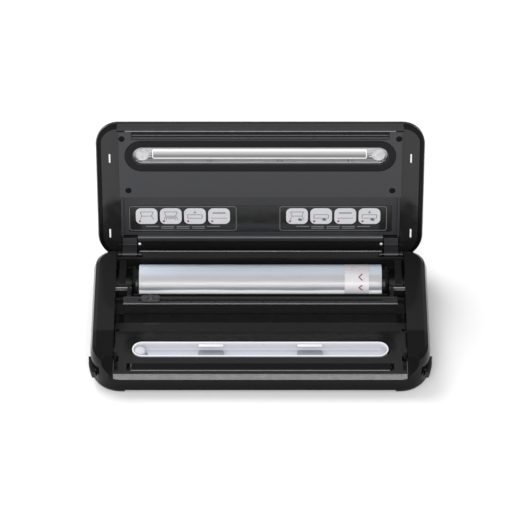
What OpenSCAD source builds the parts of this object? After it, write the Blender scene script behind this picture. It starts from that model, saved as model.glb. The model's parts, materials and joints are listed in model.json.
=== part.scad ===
// Table-top vacuum sealer with a bag-roll compartment, shown with its lid open.
// Sizes are in millimetres. Depths (y) are counted from the front face and heights (z)
// from the floor; place() then puts the origin under the middle of the open machine.
// Lid pieces are drawn closed, and on_lid() swings them open about the rear hinge.

/* [Base] */
// Width over the side walls
base_w = 413; // [411:1:415]
// Height of the raised side cheeks
cheek_z = 50; // [49:0.5:50]
// Height of the front deck
deck_z = 28; // [27.5:0.5:28]
// Half width of the bay between the cheeks
bay_x = 178.5; // [178.5:0.5:180]
// Wall thickness of the large mouldings
wall = 2.6; // [2.2:0.1:3]
// Height of the skirt between the corner feet
skirt_z = 4.2; // [4:0.1:5]

/* [Lid] */
// Angle that the lid stands open
lid_open = 104; // [0:1:106]
// Width over the lid's rim
lid_w = 404; // [400:1:404]
// Height of the lid's top when closed
lid_top_z = 68; // [68:0.5:72]
// Radius of the lid's front corners
lid_corner_r = 28; // [24:1:32]

/* [Roll] */
// Length of the bag roll
roll_len = 300; // [280:1:300]
// Radius of the full bag roll
roll_r = 23.5; // [16:0.5:23.5]

/* [Tray and sealing] */
// Length of the drip tray
tray_len = 313; // [300:1:314]
// Width of the drip tray
tray_wid = 24.4; // [22:0.1:24.6]
// Length of the sealing bar
bar_len = 317; // [305:1:318]

/* [Controls] */
// Diameter of the round control buttons
button_d = 15; // [12:0.5:16]
// Travel of a control button
button_travel = 0.8; // [0.4:0.1:1]

/* [Hidden] */
$fn = 48;
eps = 0.02;
base_d = 199;
front_r = 37;
rear_r = 25;
lip_r = 5;
// hinge axis of the lid
hinge_y = 195;
hinge_z = 42;
// the origin's place: half way between the front face and the open lid's rearmost point
mid_y = 130.6;

// deck layout, front to back
bar_y = 16.7;
bar_wid = 11.6;
tray_y = 46.8;
tray_z0 = 16;
land_len = 334;
land_wid = 45;
land_depth = 0.8;
deck_back = 105.5;
cutter_y0 = 106.1;
cutter_y1 = 118.6;
groove_y = 112.8;
cutter_top = 45.5;
pivot_y = 136;
pivot_z = 41;
pivot_r = 2.5;
roll_y = 155;
roll_z = 31;
well_r = 25;
well_y0 = 126;
well_y1 = 184;
rear_rim_y = 191.4;
hinge_relief_y = 185;

// lid layout: closed heights and depths
rim_z = 50.4;
rail_w = 6.4;
rail_half = lid_w / 2 - rail_w;
lid_rear_r = 34;
lid_y0 = 15;
lid_y1 = 207;
apron_y = 11.5;
apron_t = 1.6;
block_half = 172.8;
liner_y0 = 13.6;
strip_y0 = 13.8;
strip_wid = 9.8;
block_z = 29.1;
block_back = 105.3;
side_y0 = lid_y0 + rail_w + 0.4;
recess_z = 56;
recess_back = 181;
window_z = 31;
window_len = 312;
window_wid = 23.8;
window_y = 47;
gasket_len = 332;
gasket_wid = 43.3;
label_y = 151.6;
label_len = 327;
label_wid = 37.3;
panel_y = 46;
panel_len = 190;
panel_wid = 34;

// pump in the lid
pump_y = 83;
pump_z = 44;
hose_y = 77;
hose_z = 37.6;

// side controls
paddle_z0 = 15.5;
paddle_h = 9.5;
paddle_y0 = 10.5;
paddle_y1 = 37;
paddle_t = 4.6;
press_room = 2.9;
stem_y = 24;
hook_x = 176;
hook_y = 30.5;
hook_pivot_z = 21;
latch_pin_r = 1.2;

// power inlet in the rear wall
inlet_x = 120;
inlet_z = 15.5;

// ---------- frames and shared shapes ----------

module place() { translate([0, -mid_y, 0]) children(); }

module on_lid() {
  translate([0, hinge_y, hinge_z])
    rotate([-lid_open, 0, 0])
      translate([0, -hinge_y, -hinge_z]) children();
}

// extrudes a depth-and-height outline across the width, centred
module across(width) {
  rotate([90, 0, 90]) linear_extrude(width, center = true) children();
}

module both_sides() {
  for (s = [0, 1]) mirror([s, 0, 0]) children();
}

// a long flat piece with half-round ends, lying along the width
module stadium(len, wid, h) {
  linear_extrude(h) {
    square([len - wid, wid], center = true);
    for (s = [-1, 1]) translate([s * (len - wid) / 2, 0]) circle(d = wid);
  }
}

module stadium_ring(len, wid, t, h) {
  difference() {
    stadium(len, wid, h);
    translate([0, 0, -1]) stadium(len - 2 * t, wid - 2 * t, h + 2);
  }
}

// a plate with four round corners
module round_plate(len, wid, r, h) {
  linear_extrude(h) {
    square([len - 2 * r, wid], center = true);
    square([len, wid - 2 * r], center = true);
    for (x = [-1, 1], y = [-1, 1])
      translate([x * (len / 2 - r), y * (wid / 2 - r)]) circle(r);
  }
}

// four thin corner discs: one level of a rounded housing
module level(w, y0, y1, rf, rr, inset, z) {
  for (s = [-1, 1]) {
    translate([s * (w / 2 - rf), y0 + rf, z]) cylinder(r = rf - inset, h = eps);
    translate([s * (w / 2 - rr), y1 - rr, z]) cylinder(r = rr - inset, h = eps);
  }
}

// levels is a list of [height, inset]
module loft(w, y0, y1, rf, rr, levels) {
  for (i = [0 : len(levels) - 2]) hull() {
    level(w, y0, y1, rf, rr, levels[i][1], levels[i][0]);
    level(w, y0, y1, rf, rr, levels[i + 1][1], levels[i + 1][0] - eps);
  }
}

// a head-down countersunk or pan screw, standing on its tip
module screw(head_r, shaft_r, h) {
  cylinder(r = shaft_r, h = h);
  translate([0, 0, h]) difference() {
    cylinder(r = head_r, h = 1.4);
    for (a = [0, 90]) rotate([0, 0, a])
      translate([-head_r * 0.6, -0.35, 0.6]) cube([head_r * 1.2, 0.7, 1]);
  }
}

// ---------- base ----------

module housing_outside() {
  difference() {
    loft(base_w, 0, base_d, front_r, rear_r,
         [[0.6, 1.6], [4, 0.4], [18, 0], [38, 0], [46, 2.5], [cheek_z, 7]]);
    // the cheeks' front ends slope down to the lip
    across(base_w + 20) polygon([[-5, 16], [14, 50.9], [14, 60], [-5, 60]]);
  }
}

module housing_inside() {
  difference() {
    loft(base_w, 0, base_d, front_r, rear_r,
         [[-1, 4.6], [12, wall + 1], [38, wall + 0.2], [cheek_z - wall, 8.8]]);
    across(base_w + 20) polygon([[-5, 12], [17, 51.5], [17, 60], [-5, 60]]);
  }
}

module skirt_gaps() {
  // between the corner feet, under the front and rear walls and under the side walls
  half = base_w / 2 - 42;
  for (y = [-5, base_d - 20]) translate([-half, y, -1]) cube([2 * half, 25, skirt_z + 1]);
  both_sides() translate([base_w / 2 - 20, 52, -1]) cube([30, 92, skirt_z + 1]);
}

// outer face of a release paddle: it stands off the corner more towards the front
function paddle_x(y) = base_w / 2 + 2.7 - 4.7 * pow(max(0, paddle_y1 - y) / (paddle_y1 - paddle_y0), 1.5);

// band beside the paddle's outer face, from one depth to another and between two offsets
module beside_paddle(y0, y1, inner, outer) {
  steps = 8;
  ys = [for (k = [0 : steps]) y0 + (y1 - y0) * k / steps];
  polygon(concat([for (y = ys) [paddle_x(y) + inner, y]],
                 [for (k = [steps : -1 : 0]) [paddle_x(ys[k]) + outer, ys[k]]]));
}

// hollow that a release paddle is pressed into
module release_recess() {
  translate([0, 0, paddle_z0 - 1]) linear_extrude(paddle_h + 2)
    beside_paddle(paddle_y0 - 1.5, paddle_y1 + 1.4, -paddle_t - press_room, 8);
}

// walls around that hollow, inside the housing
module release_pocket() {
  intersection() {
    housing_outside();
    both_sides() difference() {
      translate([0, 0, paddle_z0 - 3]) linear_extrude(paddle_h + 6)
        beside_paddle(paddle_y0, paddle_y1 + 3.4, -paddle_t - press_room - 2, 8);
      release_recess();
      stem_passage(0.4);
    }
  }
}

module base_housing() {
  color("#15161a") {
    difference() {
      housing_outside();
      housing_inside();
      translate([-bay_x, -1, deck_z - lip_r - 0.2]) cube([2 * bay_x, rear_rim_y + 1, 60]);
      skirt_gaps();
      both_sides() release_recess();
      // windows for the hinge arms and brackets in the rear wall
      both_sides() translate([147, 184, 33]) cube([31.4, 18, 20]);
      // opening for the power inlet
      translate([inlet_x - 12.5, base_d - 8, inlet_z - 7.5]) cube([25, 12, 15]);
      // passages for the release stems
      both_sides() stem_passage(0.4);
    }
    release_pocket();
    // inner walls of the cheeks
    intersection() {
      housing_outside();
      both_sides() translate([bay_x, 2, 8]) cheek_wall();
    }
  }
}

module cheek_wall() {
  difference() {
    cube([2.4, 190, 60]);
    // holes for the cutter's pivot pin and the latch pin, and a wire gap
    translate([-1, hook_y - 2, hook_pivot_z - 8]) rotate([0, 90, 0]) cylinder(r = latch_pin_r, h = 5);
    translate([-1, pivot_y - 2, pivot_z - 8]) rotate([0, 90, 0]) cylinder(r = pivot_r, h = 5);
    translate([-1, 60, 2]) cube([5, 30, 10]);
  }
}

module stem_passage(gap) {
  translate([bay_x + 4, stem_y - 4 - gap, paddle_z0 + 1 - gap])
    cube([40, 8 + 2 * gap, 7 + 2 * gap]);
}

module bottom_cover() {
  color("#1b1b1d") difference() {
    union() {
      translate([0, base_d / 2, skirt_z]) round_plate(base_w - 10, base_d - 10, 31, 2);
      for (p = cover_screw_places) translate([p[0], p[1], skirt_z]) cylinder(r = 4.5, h = 6);
    }
    // the well's own floor comes through here
    translate([-bay_x + 0.3, well_y0 - 0.3, skirt_z - 1])
      cube([2 * bay_x - 0.6, well_y1 - well_y0 + 0.6, 12]);
    // cooling slots
    for (i = [-6 : 6]) translate([i * 9 - 90, 70, skirt_z - 1]) cube([4, 26, 4]);
    for (p = cover_screw_places) translate([p[0], p[1], skirt_z - 1]) {
      cylinder(r = 1.6, h = 12);
      cylinder(r = 3.3, h = 2.6);
    }
  }
}

cover_screw_places = [for (x = [-150, 0, 150]) [x, 20], for (x = [-188, 188]) [x, 120]];
feet_places = [for (x = [-172, 172], y = [30, 115]) [x, y], [-188, 168], [188, 168]];

module rubber_feet() {
  color("#0d0d0d") for (p = feet_places)
    translate([p[0], p[1], 0]) {
      cylinder(r = 6, h = skirt_z);
      cylinder(r = 6.8, h = 1.6);
    }
}

module bottom_screws() {
  color("silver") for (p = cover_screw_places)
    translate([p[0], p[1], skirt_z + 8]) mirror([0, 0, 1]) screw(3, 1.55, 6.4);
}

module deck_panel() {
  color("#101114") {
    difference() {
      union() {
        intersection() {
          across(2 * bay_x - 0.6) deck_profile();
          front_outline(0);
        }
        // flange behind the front wall
        intersection() {
          across(2 * bay_x - 0.6) translate([wall + 1.6, deck_z - lip_r - 5]) square([2, 9.4]);
          front_outline(wall + 1.4);
        }
        translate([0, tray_y, 12]) stadium(tray_len + 7, tray_wid + 7, deck_z - 12 - 1);
      }
      // shallow land around the tray, where the gasket closes
      translate([0, tray_y, deck_z - land_depth]) stadium(land_len, land_wid, 2);
      // vacuum basin
      translate([0, tray_y, tray_z0 - 0.2]) stadium(tray_len + 2.4, tray_wid + 2.4, 20);
      // sealing bar slot
      translate([-bar_len / 2 - 4, bar_y - bar_wid / 2 - 0.2, deck_z - 6])
        cube([bar_len + 8, bar_wid + 0.4, 10]);
      // latch slots and locating slots
      both_sides() translate([hook_x - 3.6, hook_y - 4.5, deck_z - 10]) cube([6.6, 9, 20]);
      both_sides() translate([173, 76.5, deck_z - 10]) cube([4, 4, 20]);
    }
    // cradle of the sealing bar
    translate([0, bar_y, deck_z - 13.4]) difference() {
      translate([-bar_len / 2 - 5, -bar_wid / 2 - 2, 0]) cube([bar_len + 10, bar_wid + 4, 11.2]);
      translate([-bar_len / 2 - 3.8, -bar_wid / 2 - 0.2, 2]) cube([bar_len + 7.6, bar_wid + 0.4, 20]);
    }
  }
}

module deck_profile() {
  // flat deck with a sloping front lip
  polygon([[0, deck_z - lip_r], [lip_r, deck_z], [deck_back, deck_z], [deck_back, deck_z - 2.5],
           [lip_r + 1, deck_z - 2.5], [lip_r - 1.4, deck_z - lip_r]]);
}

// depth-and-width outline of the base's front corners, set back by an inset
module front_outline(inset) {
  linear_extrude(60) {
    translate([-base_w / 2 + inset, front_r]) square([base_w - 2 * inset, 200]);
    translate([-base_w / 2 + front_r, inset]) square([base_w - 2 * front_r, 100]);
    for (s = [-1, 1]) translate([s * (base_w / 2 - front_r), front_r]) circle(front_r - inset);
  }
}

module sealing_bar() {
  color("#26272a") translate([-bar_len / 2, bar_y - bar_wid / 2, deck_z - 11.4])
    cube([bar_len, bar_wid, 11]);
}

module heating_element() {
  color("#b9b2a4") {
    translate([-bar_len / 2 + 4, bar_y - 1.5, deck_z - 0.4]) cube([bar_len - 8, 3, 0.2]);
    // terminals folded down at both ends
    both_sides() translate([bar_len / 2, bar_y - 2, deck_z - 9]) cube([1.2, 4, 8.8]);
    both_sides() translate([bar_len / 2 - 4, bar_y - 1.5, deck_z - 0.4]) cube([5.2, 3, 0.2]);
  }
}

module seal_tape() {
  color("#2b2c30") translate([-bar_len / 2 + 1.5, bar_y - bar_wid / 2, deck_z - 0.2])
    cube([bar_len - 3, bar_wid, 0.4]);
}

module well_profile() {
  difference() {
    union() {
      translate([well_y0, skirt_z]) square([well_y1 - well_y0, 28]);
      translate([well_y0, skirt_z]) square([2.4, 36]);
      translate([well_y1 - 2.4, skirt_z]) square([2.4, cheek_z - skirt_z - 3]);
      // flange that slopes up to the rear rim
      polygon([[well_y1 - 1, cheek_z - 5.4], [rear_rim_y - 2.8, cheek_z - 5.4],
               [rear_rim_y - 0.3, cheek_z - 2.6],
               [rear_rim_y - 0.3, cheek_z - 0.2], [well_y1 - 1, cheek_z - 3.6]]);
    }
    translate([roll_y, roll_z]) circle(well_r);
    translate([roll_y - well_r, roll_z]) square([2 * well_r, 40]);
  }
  // shelf under the cutter bar
  translate([cutter_y0 - 0.4, deck_z - 2.6]) square([well_y0 - cutter_y0 + 1, 2.6]);
}

module roll_trough() {
  color("#121316") difference() {
    across(2 * bay_x - 0.6) well_profile();
    // reliefs for the hinge brackets
    both_sides() translate([146.6, hinge_relief_y, 30]) cube([40, 10, 30]);
    // gaps in the front wall for the cutter's arms
    both_sides() translate([157, well_y0 - 1, 32.4]) cube([24, 6, 20]);
  }
}

module roll_bracket() {
  color("#17181b") {
    translate([roll_len / 2 + 1.6, roll_y, roll_z]) rotate([0, 90, 0]) cylinder(r = 17, h = 3);
    // spindle stub inside the core
    translate([roll_len / 2 - 5, roll_y, roll_z]) rotate([0, 90, 0]) cylinder(r = 11.2, h = 7);
    translate([roll_len / 2 + 1.6, roll_y - 7, roll_z]) cube([3, 14, 18.4]);
    // stiffening ribs and foot
    for (k = [-1, 0, 1]) translate([roll_len / 2 + 4.4, roll_y + k * 9 - 1, 14]) cube([5, 2, 30]);
    translate([roll_len / 2 + 4.4, roll_y - 15, 12.2]) cube([3, 30, 34.4]);
  }
}

module right_roll_bracket() { roll_bracket(); }
module left_roll_bracket() { mirror([1, 0, 0]) roll_bracket(); }

module leaf_springs() {
  color("#b5b5b8") both_sides() {
    translate([166.4, 139, 45.6]) cube([8.4, 41, 0.8]);
    translate([166.4, 180, 44]) cube([8.4, 0.8, 2.4]);
    translate([166.4, 180, 44]) cube([8.4, 1.6, 0.8]);
  }
}

module cutter_pivot_pins() {
  color("#dcdde0") both_sides() translate([159.4, pivot_y, pivot_z]) rotate([0, 90, 0]) {
    cylinder(r = pivot_r, h = bay_x - 159.4 + 2);
  }
}

module hinge_brackets() {
  color("#1a1b1e") both_sides() difference() {
    union() {
      translate([147.3, 188.4, 33.2]) cube([30.6, 10.4, 3]);
      for (x = [147.3, 173.4]) translate([x, 0, 0]) {
        translate([0, hinge_y, hinge_z]) rotate([0, 90, 0]) cylinder(r = 4, h = 4.5);
        translate([0, hinge_y - 4, 33.2]) cube([4.5, 8, hinge_z - 33.2]);
      }
    }
    translate([140, hinge_y, hinge_z]) rotate([0, 90, 0]) cylinder(r = 2, h = 50);
  }
}

module hinge_pins() {
  color("silver") both_sides() translate([147.4, hinge_y, hinge_z])
    rotate([0, 90, 0]) cylinder(r = 2, h = 30.4);
}

module power_board() {
  color("#2f6b3f") translate([-20, 66, 8]) cube([120, 36, 1.6]);
  color("#1c1c1c") {
    for (x = [-12, 0, 12]) translate([x, 74, 9.6]) cube([8, 6, 8]);
    translate([20, 94, 9.6]) cylinder(r = 5, h = 14);
    translate([34, 94, 9.6]) cylinder(r = 4, h = 12);
    translate([84, 72, 9.6]) cube([12, 16, 13]);
  }
}

module transformer() {
  color("#8a8f94") translate([42, 68.5, 9.6]) difference() {
    cube([34, 30, 14]);
    translate([5, -1, 4]) cube([7, 32, 6]);
    translate([22, -1, 4]) cube([7, 32, 6]);
  }
  color("#b8702e") translate([47.3, 66.8, 13.8]) {
    difference() {
      cube([23.4, 33.4, 5.6]);
      translate([6.7, 1.7, -1]) cube([10, 30, 9]);
    }
  }
}

module heat_sink() {
  color("#9a9da1") translate([-18, 88, 9.6]) {
    cube([30, 12, 1.6]);
    for (i = [0 : 7]) translate([i * 4, 0, 1.5]) cube([1.4, 12, 11]);
  }
}

module power_inlet() {
  color("#0f0f10") translate([inlet_x, base_d - 7, inlet_z]) rotate([-90, 0, 0]) difference() {
    union() {
      translate([0, 0, -6]) round_plate(22, 12.6, 3, 12);
      translate([0, 0, 4.6]) round_plate(24, 14, 3, 1.8);
    }
    for (s = [-1, 1]) translate([s * 4.4, 0, -4]) cylinder(r = 4, h = 20);
    translate([-4.4, -2.4, -4]) cube([8.8, 4.8, 20]);
  }
  color("silver") for (s = [-1, 1])
    translate([inlet_x + s * 4.4, base_d - 12, inlet_z]) rotate([-90, 0, 0]) cylinder(r = 1.2, h = 10);
}

module lid_switches() {
  color("#202226") both_sides() {
    translate([182, 96, 30]) cube([6, 20, 10]);
    translate([183.6, 100, 40]) cube([2.8, 5, 1.6]);
  }
}

module release_springs() {
  color("silver") both_sides()
    translate([bay_x + 2.4, stem_y, paddle_z0 + 4.5]) rotate([0, 90, 0]) difference() {
      cylinder(r = 2.6, h = 10.4);
      translate([0, 0, -1]) cylinder(r = 1.9, h = 13);
    }
}

module latch_pins() {
  color("silver") both_sides() translate([hook_x - 2.6, hook_y, hook_pivot_z])
    rotate([0, 90, 0]) cylinder(r = latch_pin_r, h = 7);
}

// ---------- pieces that move in the base ----------

module release_button() {
  color("#0e0f11") {
    // paddle beside the front corner
    translate([0, 0, paddle_z0]) linear_extrude(paddle_h) beside_paddle(paddle_y0, paddle_y1, -paddle_t, 0);
    // grip ridges
    for (k = [0 : 6]) let (y = paddle_y0 + 3 + 2.6 * k)
      translate([paddle_x(y) - 0.4, y - 0.35, paddle_z0 + 1]) cube([0.8, 0.7, paddle_h - 2]);
    // stem into the cheek, bored for its spring
    difference() {
      translate([190, stem_y - 4, paddle_z0 + 1]) cube([paddle_x(stem_y) - 3 - 190, 8, 7]);
      translate([189, stem_y, paddle_z0 + 4.5]) rotate([0, 90, 0]) cylinder(r = 2.8, h = 5.5);
    }
  }
}

module right_release_button() { release_button(); }
module left_release_button() { mirror([1, 0, 0]) release_button(); }

module latch_hook() {
  color("#c9cacc") difference() {
    union() {
      translate([hook_x - 2, hook_y - 2.6, hook_pivot_z - 3]) cube([4, 5.2, 48.2 - hook_pivot_z]);
      translate([hook_x - 2, hook_y, hook_pivot_z]) rotate([0, 90, 0]) cylinder(r = 3.4, h = 4);
      translate([hook_x - 2, hook_y - 4, 41]) cube([4, 2, 4.2]);
    }
    translate([hook_x - 3, hook_y, hook_pivot_z]) rotate([0, 90, 0]) cylinder(r = latch_pin_r + 0.05, h = 6);
  }
}

module right_latch_hook() { latch_hook(); }
module left_latch_hook() { mirror([1, 0, 0]) latch_hook(); }

module drip_tray() {
  color("#e9e8ef") {
    translate([0, tray_y, tray_z0]) {
      difference() {
        stadium(tray_len - 2, tray_wid - 2, 12);
        translate([0, 0, 1.4]) stadium(tray_len - 5, tray_wid - 5, 12);
      }
      translate([0, 0, 10.8]) stadium_ring(tray_len, tray_wid, 2.6, 1.4);
    }
    // domed cover of the suction port
    translate([-tray_len / 2 + 9.6, tray_y, 17.3]) {
      cylinder(r = 7.2, h = 7.6);
      translate([0, 0, 7.5]) cylinder(r1 = 7.2, r2 = 5, h = 2);
    }
    // finger tabs on the rear edge
    for (x = [-60.4, 60.4]) translate([x - 15.4, tray_y + tray_wid / 2 - 6.4, 24.8]) cube([30.8, 5, 2]);
  }
}

module bag_film_roll() {
  color("#dfe3e8") translate([-roll_len / 2, roll_y, roll_z]) rotate([0, 90, 0]) difference() {
    cylinder(r = roll_r, h = roll_len);
    translate([0, 0, -1]) cylinder(r = 13, h = roll_len + 2);
  }
}

module roll_core() {
  color("#d9c9a8") translate([-roll_len / 2, roll_y, roll_z]) rotate([0, 90, 0]) difference() {
    cylinder(r = 12.95, h = roll_len);
    translate([0, 0, -1]) cylinder(r = 11.26, h = roll_len + 2);
  }
}

module cutter_bar() {
  color("#131417") difference() {
    across(337) cutter_profile();
    // knife groove
    translate([-150, groove_y - 1, 40]) cube([300, 2, 10]);
  }
}

module cutter_profile() {
  difference() {
    translate([cutter_y0, deck_z + 0.8]) square([cutter_y1 - cutter_y0, cutter_top - deck_z - 0.8]);
    translate([cutter_y0 + 2.2, deck_z]) square([cutter_y1 - cutter_y0 - 4.4, cutter_top - deck_z - 2.4]);
  }
}

module cutter_arms() {
  color("#191a1d") both_sides() difference() {
    union() {
      translate([160, cutter_y1, 33]) cube([4, pivot_y - cutter_y1, 12]);
      translate([160, pivot_y, pivot_z]) rotate([0, 90, 0]) cylinder(r = 5, h = 4);
      translate([158.5, cutter_y1, 33]) cube([5.5, 3, 12]);
    }
    translate([158, pivot_y, pivot_z]) rotate([0, 90, 0]) cylinder(r = pivot_r + 0.06, h = 10);
  }
}

module cutter_guide_strip() {
  color("#a3a4ad") {
    for (k = [-5 : 4]) translate([k * 29.6 + 5, cutter_y0 + 2.2, cutter_top]) cube([26.8, 1.6, 0.3]);
    translate([-165, cutter_y1 - 2.4, cutter_top]) cube([330, 1.4, 0.4]);
  }
}

slider_x = -135;

module cutter_slider() {
  color("#6b6c72") translate([slider_x, groove_y, cutter_top + 0.9]) {
    difference() {
      union() {
        round_plate(23, 9, 3, 2.6);
        for (s = [-1, 1]) translate([s * 6.6, 0, 2.5]) cylinder(r = 3.4, h = 1.6);
        translate([0, 0, 2.5]) cylinder(r1 = 4, r2 = 2.6, h = 4);
      }
      translate([-4, -0.5, -1]) cube([8, 0.6, 2.4]);
    }
  }
}

module cutter_blade() {
  color("silver") translate([slider_x - 3.8, groove_y - 0.4, cutter_top - 4.6]) cube([7.6, 0.4, 6.4]);
}

// ---------- lid, drawn closed ----------

module lid_outer_shell() {
  color("#131418") {
    difference() {
      union() {
        loft(lid_w, lid_y0, lid_y1, lid_corner_r, lid_rear_r,
             [[rim_z, 1.2], [53, 0.1], [59, 0.4], [64.5, 3], [lid_top_z, 10]]);
        apron();
      }
      loft(lid_w, lid_y0, lid_y1, lid_corner_r, lid_rear_r,
           [[rim_z - 1, rail_w - 0.3], [60, rail_w - 1], [lid_top_z - 2.4, 13]]);
      // seat of the control panel
      translate([0, panel_y, lid_top_z - 1.2]) round_plate(panel_len, panel_wid, 8, 3);
      for (b = buttons) translate([b[0], panel_y, 40]) cylinder(r = button_d / 2 + 0.4, h = 40);
    }
  }
}

// wall that runs down to deck level in front of the liner
module apron() {
  across(2 * block_half + 4) polygon([
    [apron_y, block_z], [apron_y + apron_t, block_z], [apron_y + apron_t + 4, 58],
    [lid_y0 + 4, 58], [lid_y0, 56], [lid_y0, 53]
  ]);
}

module lid_rim_frame() {
  color("#1a1b1f") difference() {
    translate([0, 0, rim_z]) linear_extrude(2) difference() {
      rim_frame_outline();
      translate([-block_half - 0.3, 0]) square([2 * block_half + 0.6, recess_back + 1]);
    }
    // gaps for the hinge arms, seats of bumpers and screws
    both_sides() translate([153, recess_back - 2, 40]) cube([19.8, 40, 20]);
    for (p = bumper_places) translate([p[0], p[1], rim_z - 1]) bumper_plug(0.05);
    for (p = rear_screw_places) translate([p[0], p[1], rim_z - 1]) cylinder(r = 1.2, h = 9);
  }
}

module rim_frame_outline() {
  w = rail_half;
  y0 = lid_y0 + rail_w;
  y1 = lid_y1 - 6;
  for (s = [-1, 1]) {
    translate([s * (w - 20), y0 + 20]) circle(20);
    translate([s * (w - 28), y1 - 28]) circle(28);
  }
  translate([-w, y0 + 20]) square([2 * w, y1 - y0 - 48]);
  translate([-w + 20, y0]) square([2 * w - 40, 30]);
  translate([-w + 28, y1 - 30]) square([2 * w - 56, 30]);
}

rear_screw_places = [for (x = [-150.6, 150.6]) [x, recess_back + 4]];
bumper_places = [for (s = [-1, 1]) each [[s * 185.2, 62.3], [s * 187, 169.4]]];
liner_screw_places = [for (s = [-1, 1]) each [[s * 169, 23], [s * 162, 95.6]]];

module bumper_plug(gap) {
  translate([-1 - gap, -6 - gap, 0]) cube([2 + 2 * gap, 12 + 2 * gap, 4]);
}

module lid_liner() {
  color("#4a4b52") difference() {
    union() {
      // front block, down to the deck
      translate([-block_half, liner_y0, block_z]) cube([2 * block_half, block_back - liner_y0, 2.2]);
      translate([-block_half, block_back - 2.2, block_z])
        cube([2 * block_half, 2.2, recess_z - block_z + 2]);
      both_sides() translate([block_half - 2.2, side_y0, block_z])
        cube([2.2, block_back - side_y0, recess_z - block_z]);
      // raised rear part over the roll, with a rolled rear edge
      translate([-block_half, block_back - 2, recess_z])
        cube([2 * block_half, recess_back - block_back + 2, 2.2]);
      both_sides() translate([block_half - 2.2, block_back - 2, rim_z + 0.2])
        cube([2.2, recess_back - block_back + 2, recess_z - rim_z + 1]);
      across(2 * block_half) rolled_edge();
      // bosses of the liner screws
      for (p = liner_screw_places) translate([p[0], p[1], block_z]) cylinder(r = 3.6, h = 8);
      // ring around the gasket and window seats
      translate([0, window_y, block_z + 1]) stadium_ring(gasket_len + 4, gasket_wid + 4, 1.8, 3);
      translate([0, window_y, block_z + 2]) stadium(gasket_len + 4, gasket_wid + 4, 2.6);
    }
    // gasket seat, window opening and pressure-strip seat
    translate([0, window_y, block_z - 1]) stadium_ring(gasket_len, gasket_wid, 9.2, 3.6);
    translate([0, window_y, block_z - 1]) stadium(window_len, window_wid, 12);
    translate([-157.2, liner_y0 - 1, block_z - 1])
      cube([314.4, strip_y0 + strip_wid + 1.1 - liner_y0, 4.4]);
    // screw holes, hinge-arm gaps
    for (p = liner_screw_places) translate([p[0], p[1], block_z - 1]) {
      cylinder(r = 1.5, h = 14);
      cylinder(r = 2.7, h = 2.6);
    }
    both_sides() translate([153, recess_back - 6, 40]) cube([19.9, 10, 30]);
    // catch pockets for the latch hooks
    both_sides() translate([block_half - 4, hook_y - 5, 39]) cube([6, 10, 8]);
  }
}

module rolled_edge() {
  difference() {
    translate([recess_back - 5.4, recess_z - 5.6]) square([5.4, 7.8]);
    translate([recess_back - 5.4, recess_z - 5.6]) circle(5);
  }
}

module lid_window() {
  color("#d7dde2") translate([0, window_y, window_z]) {
    difference() {
      stadium(window_len - 0.4, window_wid - 0.4, 2);
      translate([0, 0, -1]) stadium(258, 6, 1.8);
    }
    translate([0, 0, 2]) stadium_ring(window_len - 0.4, window_wid - 0.4, 1.6, 3);
    translate([0, 0, 1.9]) stadium_ring(262, 10, 1.6, 2.6);
    // flange on the back of the liner
    translate([0, 0, 2.7]) stadium_ring(window_len + 6, window_wid + 6, 4.8, 1.4);
  }
}

module upper_gasket() {
  color("#26272a") translate([0, window_y, block_z - 0.6])
    stadium_ring(gasket_len, gasket_wid, 9.2, 3.2);
}

module pressure_strip() {
  color("#55565e") {
    translate([-157, strip_y0, block_z - 0.3]) cube([314, strip_wid, 3.5]);
    for (k = [1 : 3])
      translate([-157, strip_y0 + k * strip_wid / 4 - 0.5, block_z - 0.55]) cube([314, 1, 0.3]);
  }
}

module label_plate() {
  color("#0c0c0d") translate([0, label_y, recess_z - 0.6]) round_plate(label_len, label_wid, 1.5, 0.6);
}

module liner_screws() {
  color("#1c1c1e") for (p = liner_screw_places)
    translate([p[0], p[1], block_z + 8]) mirror([0, 0, 1]) screw(2.5, 1.45, 6.5);
}

module rear_rail_screws() {
  color("#e6e6e8") for (p = rear_screw_places)
    translate([p[0], p[1], rim_z + 5]) mirror([0, 0, 1]) {
      cylinder(r = 1.15, h = 5);
      translate([0, 0, 5]) cylinder(r = 1.7, h = 0.2);
    }
}

module lid_bumpers() {
  color("white") for (p = bumper_places) translate([p[0], p[1], rim_z - 0.2]) bumper_plug(0);
}

module lid_hinge_arms() {
  color("#3c3d43") both_sides() difference() {
    union() {
      translate([154, hinge_y, hinge_z]) rotate([0, 90, 0]) cylinder(r = 4, h = 18);
      translate([163, 0, 0]) across(18) polygon([
        [hinge_y - 4, hinge_z], [hinge_y + 4, hinge_z], [hinge_y + 4, 57], [hinge_y + 2, 61],
        [recess_back - 3, 61], [recess_back - 3, 53], [recess_back + 6, 52]
      ]);
    }
    translate([150, hinge_y, hinge_z]) rotate([0, 90, 0]) cylinder(r = 2.06, h = 30);
  }
}

// places of the control buttons along the panel
buttons = [for (k = [0 : 4]) [-68 + 34 * k, k]];

module control_panel() {
  color("#0b0b0d") translate([0, panel_y, lid_top_z - 1.2]) difference() {
    round_plate(panel_len - 0.4, panel_wid - 0.4, 7.8, 1.2);
    for (b = buttons) translate([b[0], 0, -1]) cylinder(r = button_d / 2 + 0.3, h = 4);
  }
}

module control_board() {
  color("#2f6b3f") translate([-88, panel_y - 14, lid_top_z - 9.6]) cube([176, 28, 1.6]);
  color("#1c1c1c") {
    translate([-30, panel_y - 12, lid_top_z - 11.4]) cube([14, 14, 1.8]);
    for (x = [20, 30, 40]) translate([x, panel_y - 8, lid_top_z - 13.6]) cube([7, 5, 4]);
  }
}

module tact_switches() {
  color("#33343a") for (b = buttons) translate([b[0] - 3, panel_y - 3, lid_top_z - 8]) {
    cube([6, 6, 3.2]);
    translate([3, 3, 3.2]) cylinder(r = 1.6, h = 0.6);
  }
}

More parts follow.
